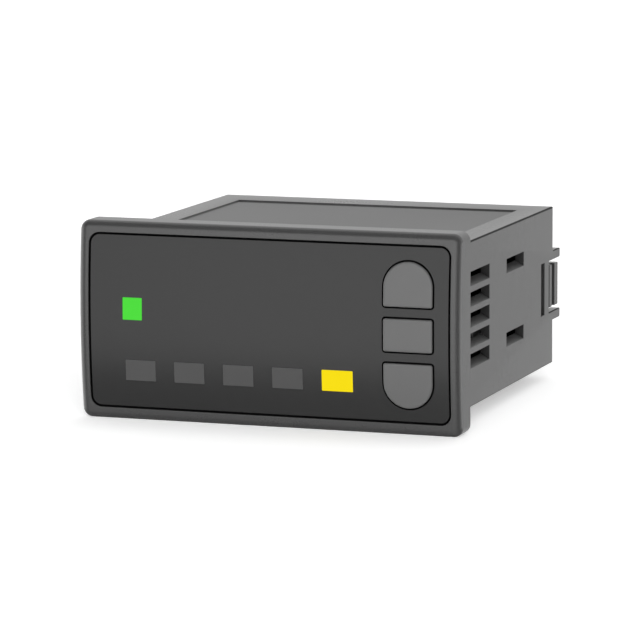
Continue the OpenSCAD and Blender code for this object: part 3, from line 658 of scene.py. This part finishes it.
def wedges(start, rise_from, rise_to):
    """Points and faces of four wedges, left and right, above and below: two triangles each, one at either
    end of its length."""
    ends = BOTH[:, None] * SNAP_LENGTH / 2 + BOTH * SNAP_X
    section = np.array([[start, rise_from], [start, rise_to], [start + SNAP_RUN, rise_from]])
    ups = BOTH[:, None, None]
    ends, corners, ups = np.broadcast_arrays(ends.T[:, None, :, None], section[:, 0], ups)
    heights = ups * section[:, 1]
    points = np.stack([ends, corners, heights], axis=-1).reshape(-1, 3)
    wedge = [[0, 1, 2], [5, 4, 3], [0, 3, 4, 1], [1, 4, 5, 2], [2, 5, 3, 0]]
    firsts = range(0, len(points), 2 * len(section))
    faces = [[first + corner for corner in face] for first in firsts for face in wedge]
    return points, faces


board_back = BOARD_SEAT + BOARD
sets = [
    wedges(SNAP_START, collar_half[1] - SNAP_RISE, collar_half[1] + SNAP_RISE),
    wedges(board_back + NUB_GAP, collar_in_half[1] + SNAP_RISE, collar_in_half[1] - SNAP_RISE),
]
for points, faces in sets:
    frame_faces += [[corner + len(frame_points) for corner in face] for face in faces]
    frame_points = np.vstack([frame_points, points])
make_piece("front_bezel", frame_points, frame_faces)

# %% [markdown]
# ## Keys
#
# Each key is a cap that follows the crown a little in front of the lens. Its edge falls off along a quarter
# of an ellipse, a lip behind the lens keeps it in, and a stem goes to its switch. Outlines of one key have
# the same number of points, so the key is one loft from the stem's end to the middle of its face.

# %% Keys
KEYS = {"key_up": 1, "key_set": 0, "key_down": -1}  # domed at the top, nowhere, or at the foot
KEY_LIP = 0.9
KEY_LIP_THICKNESS = 1.0
KEY_CORNER = 0.5
KEY_EDGE = 0.45
KEY_EDGE_DEPTH = 0.25
KEY_PROUD = 0.45
KEY_PLAY = 0.2
STEM_R = 2.0
KEY_EDGE_STEPS = 8
SIDE_STEPS = 10
SQUARE_CORNER_STEPS = 10
CORNER_STEPS = 8
DOME_STEPS = 48
FACE_STEPS = 10

lip_reach = -np.array(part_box("key_down")[0])[2] / MM
lip_back = crowned(np.array([0, lip_reach]), LENS_BACK + KEY_PLAY)[1] + KEY_LIP_THICKNESS


def face_place(node, lip):
    """Half sizes and middle of the face of a key or a window: its solid's box, less the lip."""
    low, high = (np.array(corner)[[0, 2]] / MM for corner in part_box(node))
    return (high - low) / 2 - lip, (low + high) / 2


def key_outline(half_x, half_z, dome, grow):
    """A rectangle with rounded corners, or with a half circle at the top (dome 1) or foot (dome -1)."""
    r = KEY_CORNER
    if dome == 0:
        return rounded_rectangle(half_x + grow, half_z + grow, r + grow, SQUARE_CORNER_STEPS, SIDE_STEPS)
    flat = outline([
        (half_x - r, r - half_z, r + grow, -90, 0, CORNER_STEPS),
        (0, half_z - half_x, half_x + grow, 0, 180, DOME_STEPS),
        (r - half_x, r - half_z, r + grow, 180, 270, CORNER_STEPS),
    ], SIDE_STEPS)
    return flat if dome > 0 else flat[::-1] * [1, -1]


def make_key(node, dome):
    """One loft over the stem, the lip, the cap's wall, the elliptical edge and the face."""
    half, middle = face_place(node, KEY_LIP)
    stem_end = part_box(node)[1].y / MM

    def flat(grow):
        return middle + key_outline(*half, dome, grow)

    cap = flat(0)
    spokes = (cap - middle) / np.linalg.norm(cap - middle, axis=1, keepdims=True)
    stem = middle + STEM_R * spokes
    face = LENS_DROP - KEY_PROUD
    turn = np.radians(np.linspace(0, 90, KEY_EDGE_STEPS + 1))
    edge = [crowned(flat(-KEY_EDGE * (1 - np.cos(a))), face + KEY_EDGE_DEPTH * (1 - np.sin(a))) for a in turn]
    inner, tip = capped(lambda ring: crowned(ring, face), flat(-KEY_EDGE), FACE_STEPS)
    rings = [
        level(stem, stem_end),
        level(stem, lip_back),
        level(flat(KEY_LIP), lip_back),
        crowned(flat(KEY_LIP), LENS_BACK + KEY_PLAY),
        crowned(cap, LENS_BACK + KEY_PLAY),
        *edge,
        *inner,
    ]
    make_piece(node, *loft(rings, [level(middle, stem_end), tip]))


for node, dome in KEYS.items():
    make_key(node, dome)

# %% [markdown]
# ## Windows
#
# A window is the end of a light guide: a rod from the board to the lens, with a lip behind the lens. It is
# flush with the lens and has only a hair of an edge, so that the two read as one surface.

# %% Windows
WINDOW_LIP = 0.6
WINDOW_CORNER = 0.15
WINDOW_EDGE = 0.01
WINDOW_CORNER_STEPS = 3
WINDOW_SIDE_STEPS = 8
WINDOW_FACE_STEPS = 6
WINDOW_NODES = [node for node in slot_of if node.startswith("light_guide")]


def window_outline(half, grow):
    """A window's outline about its middle, moved outwards."""
    return rounded_rectangle(*(half + grow), WINDOW_CORNER, WINDOW_CORNER_STEPS, WINDOW_SIDE_STEPS)


def make_window(node):
    """One loft over the rod, the lip, the wall in the lens, its hair of an edge and the face."""
    half, middle = face_place(node, WINDOW_LIP)
    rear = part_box(node)[1].y / MM

    def flat(grow):
        return middle + window_outline(half, grow)

    inner, tip = capped(lambda ring: crowned(ring, LENS_DROP), flat(-WINDOW_EDGE), WINDOW_FACE_STEPS)
    rings = [
        level(flat(0), rear),
        level(flat(0), lip_back),
        level(flat(WINDOW_LIP), lip_back),
        crowned(flat(WINDOW_LIP), LENS_BACK + BOND),
        crowned(flat(0), LENS_BACK + BOND),
        crowned(flat(0), LENS_DROP + WINDOW_EDGE),
        crowned(flat(-WINDOW_EDGE), LENS_DROP),
        *inner,
    ]
    make_piece(node, *loft(rings, [level(middle, rear), tip]))


for node in WINDOW_NODES:
    make_window(node)

# %% [markdown]
# ## Lens
#
# The lens is one plate with nine openings, three for the keys and six for the windows. A grid can't have such
# openings, so its face is a flat triangulation of the outlines with an even lattice of points between them,
# bent on to the crown. Walls join the outlines of the front to those of the back.

# %% The lens's face
LENS_EDGE = 0.03
KEY_GAP = 0.4
WINDOW_GAP = 0.02
LATTICE = 2.0
LENS_SIDE_STEPS = 36
WHOLE = 0  # the triangulation's own setting for all triangles inside the hull of the points
NEAR = 1e-6


def lens_outlines(ease):
    """The lens's outline moved inwards and the openings' outlines moved outwards."""
    flats = [rounded_rectangle(*(lens_half - ease), OPENING_R - LENS_GAP - ease, side=LENS_SIDE_STEPS)]
    for node, dome in KEYS.items():
        half, middle = face_place(node, KEY_LIP)
        flats.append(middle + key_outline(*half, dome, KEY_GAP + ease))
    for node in WINDOW_NODES:
        half, middle = face_place(node, WINDOW_LIP)
        flats.append(middle + window_outline(half, WINDOW_GAP + ease))
    return flats


def inside(points, flat):
    """Whether points are inside a convex outline: to the left of every side of it."""
    sides = np.roll(flat, -1, axis=0) - flat
    away = points[:, None] - flat
    return np.all(sides[:, 0] * away[..., 1] - sides[:, 1] * away[..., 0] > 0, axis=1)


def plate(flats):
    """Flat triangles between the first outline and the others, with lattice points to bend along."""
    sizes = [len(flat) for flat in flats]
    starts = np.cumsum([0] + sizes[:-1])
    edges = np.concatenate([
        start + np.stack([np.arange(size), np.roll(np.arange(size), -1)], axis=1)
        for start, size in zip(starts, sizes)
    ])
    half = flats[0].max(axis=0) - LATTICE / 2
    across, up = (np.linspace(-size, size, round(2 * size / LATTICE) + 1) for size in half)
    lattice = np.stack(np.meshgrid(across, up), axis=-1).reshape(-1, 2)
    points = [Vector(point) for point in np.concatenate([*flats, lattice])]
    flat, _, faces, *_ = delaunay_2d_cdt(points, edges.tolist(), [], WHOLE, NEAR)
    flat, faces = np.array(flat), np.array(faces)
    middles = flat[faces].mean(axis=1)
    kept = ~np.any([inside(middles, opening) for opening in flats[1:]], axis=0)
    used, kept_faces = np.unique(faces[kept], return_inverse=True)
    return flat[used], kept_faces.reshape(-1, 3)


front_flats = lens_outlines(LENS_EDGE)
wall_flats = lens_outlines(0)
flat, triangles = plate(front_flats)
print("lens face:", len(triangles), "triangles round", len(front_flats) - 1, "openings")

# %% The lens with its walls
lens_points = [crowned(flat, LENS_DROP), crowned(flat, LENS_BACK)]
lens_faces = triangles.tolist() + (triangles[:, ::-1] + len(flat)).tolist()
for front, wall in zip(front_flats, wall_flats):
    rings = [
        crowned(front, LENS_DROP),
        crowned(wall, LENS_DROP + LENS_EDGE),
        crowned(wall, LENS_BACK - LENS_EDGE),
        crowned(front, LENS_BACK),
    ]
    points, faces = loft(rings)
    # The loft's last band runs from the back to the front again, and a wall has no such band.
    faces = faces[: -len(front)]
    start = sum(map(len, lens_points))
    lens_faces += (np.array(faces) + start).tolist()
    lens_points.append(points)
make_piece("front_lens", np.concatenate(lens_points), lens_faces)

# %% [markdown]
# ## Eased edges
#
# Mouldings and stamped metal have no knife edges. A copy of each outer solid is merged, its flat triangles
# are joined to plain faces, and a Bevel modifier eases its edges by a fraction of a millimetre.

# %% Case, cover and terminals
SOLID_MERGE = 1e-3
FLAT_ANGLE = 0.4  # degrees up to which neighbouring triangles count as one face
EASED_ANGLE = 50  # degrees from which an edge is eased
EASES = {
    "case": 0.05,
    "rear_cover": 0.15,
    "terminal_block_upper": 0.2,
    "terminal_block_lower": 0.2,
    "clamp_plates": 0.12,
}
SCREW_EASE = 0.25


def eased(node, width, segments=2):
    """A copy of a solid's mesh with its edges eased by width, in millimetres."""
    work = bmesh.new()
    work.from_mesh(frame["nodes"][node].data)
    bmesh.ops.remove_doubles(work, verts=work.verts, dist=SOLID_MERGE * MM)
    bmesh.ops.dissolve_limit(work, angle_limit=np.radians(FLAT_ANGLE), verts=work.verts, edges=work.edges)
    mesh = bpy.data.meshes.new(node + "_dressed")
    work.to_mesh(mesh)
    work.free()
    bevel = put(node, mesh).modifiers.new("eased_edges", "BEVEL")
    bevel.width = width * MM
    bevel.segments = segments
    bevel.limit_method = "ANGLE"
    bevel.angle_limit = np.radians(EASED_ANGLE)
    bevel.harden_normals = True


for node, width in EASES.items():
    eased(node, width)
eased("terminal_screws", SCREW_EASE, segments=3)

# %% [markdown]
# ## What stays as it is
#
# The boards and what stands on them are closed in, so their own solids are good enough. They only get their
# finishes.

# %% Inner pieces
for node, solid in frame["nodes"].items():
    if not solid.hide_render:
        solid.data.materials.clear()
        solid.data.materials.append(finishes[slot_of[node]])
        print(node, "has", slot_of[node])

# %% [markdown]
# ## Camera
#
# The photograph was taken with a long lens from the right and a little above. The angles, the distance and
# the focal length come from a fit of the frame's and the case's edges to a picture 640 pixels wide.

# %% Camera
PICTURE = 640
SENSOR = 36.0
FOCAL_PIXELS = 3944.0
AZIMUTH = np.radians(19.458)
ELEVATION = np.radians(8.6177)
ROLL = np.radians(-0.2858)
DISTANCE = 967.884
TARGET = Vector((0.0, 30.0, -3.5))
CLIP = (0.05, 100.0)  # nearest and farthest that the camera sees, in metres

back = Vector((
    np.sin(AZIMUTH) * np.cos(ELEVATION),
    -np.cos(AZIMUTH) * np.cos(ELEVATION),
    np.sin(ELEVATION),
))
right = (-back).cross(Vector((0, 0, 1))).normalized()
up = right.cross(-back)
axes = (np.cos(ROLL) * right + np.sin(ROLL) * up, -np.sin(ROLL) * right + np.cos(ROLL) * up, back)
station = (TARGET + back * DISTANCE) * MM
camera = bpy.data.objects.new("camera", bpy.data.cameras.new("camera"))
camera.data.sensor_width = SENSOR
camera.data.lens = FOCAL_PIXELS * SENSOR / PICTURE
camera.data.clip_start, camera.data.clip_end = CLIP
camera.matrix_world = Matrix.Translation(station) @ Matrix(axes).transposed().to_4x4()
bpy.context.scene.collection.objects.link(camera)
bpy.context.scene.camera = camera
print("lens", round(camera.data.lens, 1), "mm")

# %% [markdown]
# ## Floor and light
#
# The picture is a bright table: the floor is so well lit that it burns out to white, and only a soft shadow
# under the object is left. One set of lamps could hardly give both that shadow and the gloss on the plastic,
# so they are set apart. Soft boxes in front, at the left, at the right and behind are drawn on the world, and
# the dim stretches between them make the dark line round the frame's rounded edge. A wide lamp overhead
# reaches all but the floor. Two more reach the floor alone, and give the shadow its place and its softness.

# %% Floor
FLOOR_SIZE = 20.0  # in metres
FLOOR_GLOW = 0.4
FLOOR_CLOUD = 400.0

floor_mesh = bpy.data.meshes.new("floor")
corners = np.array([[-1, -1], [1, -1], [1, 1], [-1, 1]]) * FLOOR_SIZE
floor_mesh.from_pydata([(x, y, cad_box[0].z) for x, y in corners.tolist()], [], [[0, 1, 2, 3]])
floor = bpy.data.objects.new("floor", floor_mesh)
bpy.context.scene.collection.objects.link(floor)
shader, place = start_finish("floor_paint", {
    "Roughness": MATT,
    "Specular IOR Level": 0.0,
    "Emission Color": (1, 1, 1, 1),
    "Emission Strength": FLOOR_GLOW,
})
feed(shader, {"Base Color": place.noise(FLOOR_CLOUD).between(grey(0.9), grey(0.91))})
floor_mesh.materials.append(finishes["floor_paint"])
floor.visible_glossy = False
print("floor at", round(cad_box[0].z / MM, 2), "mm")

# %% Soft boxes
DIM_LIGHT = 0.06
FRONT_LIGHT = 1.26
LEFT_LIGHT = 1.22
RIGHT_LIGHT = 0.95
REAR_LIGHT = 0.7
# Where a soft box starts, is full, fades and ends: in degrees to the right of the front, or by height, from
# -1 straight down to 1 straight up.
FRONT_WIDTH = (-34, -20, -4, 27)
FRONT_FOOT = (-0.305, -0.205)
FRONT_FOOT_SHARE = 0.3
FRONT_TOP = (0.25, 0.45)
LEFT_WIDTH = (-130, -105, -68, -44)
LEFT_HEIGHT = (-0.6, -0.3, 0.1, 0.4)
RIGHT_WIDTH = (45, 85, 128, 146)
RIGHT_HEIGHT = (-0.45, -0.25, 0.1, 0.3)
# The rear light fills the whole half behind the object, and is weaker on the right.
REAR_START = (-0.2, 0.15)
REAR_FOOT = (-0.6, -0.4)
REAR_RIGHT = (0.0, 0.3)
REAR_RIGHT_LOSS = 0.28

world = bpy.data.worlds.new("studio")
bpy.context.scene.world = world
world.use_nodes = True
tree = world.node_tree
way = Socket(tree, tree.nodes.new("ShaderNodeTexCoord").outputs["Generated"])
x, y, z = (way.part(axis) for axis in range(3))
azimuth = way.math("ARCTAN2", x, 0 - y) * np.degrees(1)


def soft_box(value, start, full, fade, end):
    """Rises from start to full and falls from fade to end."""
    return value.step(start, full) * (1 - value.step(fade, end))


front_foot = FRONT_FOOT_SHARE + (1 - FRONT_FOOT_SHARE) * z.step(*FRONT_FOOT)
front_box = soft_box(azimuth, *FRONT_WIDTH) * front_foot * (1 - z.step(*FRONT_TOP))
left_box = soft_box(azimuth, *LEFT_WIDTH) * soft_box(z, *LEFT_HEIGHT)
right_box = soft_box(azimuth, *RIGHT_WIDTH) * soft_box(z, *RIGHT_HEIGHT)
rear_box = y.step(*REAR_START) * z.step(*REAR_FOOT) * (1 - REAR_RIGHT_LOSS * x.step(*REAR_RIGHT))
glow = (
    DIM_LIGHT
    + FRONT_LIGHT * front_box
    + LEFT_LIGHT * left_box
    + RIGHT_LIGHT * right_box
    + REAR_LIGHT * rear_box
)
tree.links.new(glow.output, tree.nodes["Background"].inputs["Strength"])
tree.nodes["Background"].inputs["Color"].default_value = (1, 1, 1, 1)
print("studio light from", len(tree.nodes), "nodes")

# %% Lamps
TOP_LIGHT = 1.9
FLOOR_LIGHT = 2.65
FOOT_LIGHT = 0.36


def add_lamp(name, energy, angle, tilt, reach):
    """A wide lamp far away, tilted about X and Y, that reaches the floor alone or all but the floor."""
    light = bpy.data.lights.new(name, "SUN")
    light.energy = energy
    light.angle = np.radians(angle)
    lamp = bpy.data.objects.new(name, light)
    lamp.rotation_euler = (*np.radians(tilt), 0)
    lamp.visible_glossy = False
    bpy.context.scene.collection.objects.link(lamp)
    group = bpy.data.collections.new(name + "_reach")
    group.objects.link(floor)
    group.collection_objects[0].light_linking.link_state = reach
    lamp.light_linking.receiver_collection = group
    print(name, "is", angle, "degrees wide")


add_lamp("top_light", TOP_LIGHT, angle=80, tilt=(-4, 14), reach="EXCLUDE")
add_lamp("floor_light", FLOOR_LIGHT, angle=40, tilt=(60, 45), reach="INCLUDE")
add_lamp("foot_light", FOOT_LIGHT, angle=20, tilt=(-15, 0), reach="INCLUDE")
bpy.context.scene.view_settings.view_transform = "Standard"
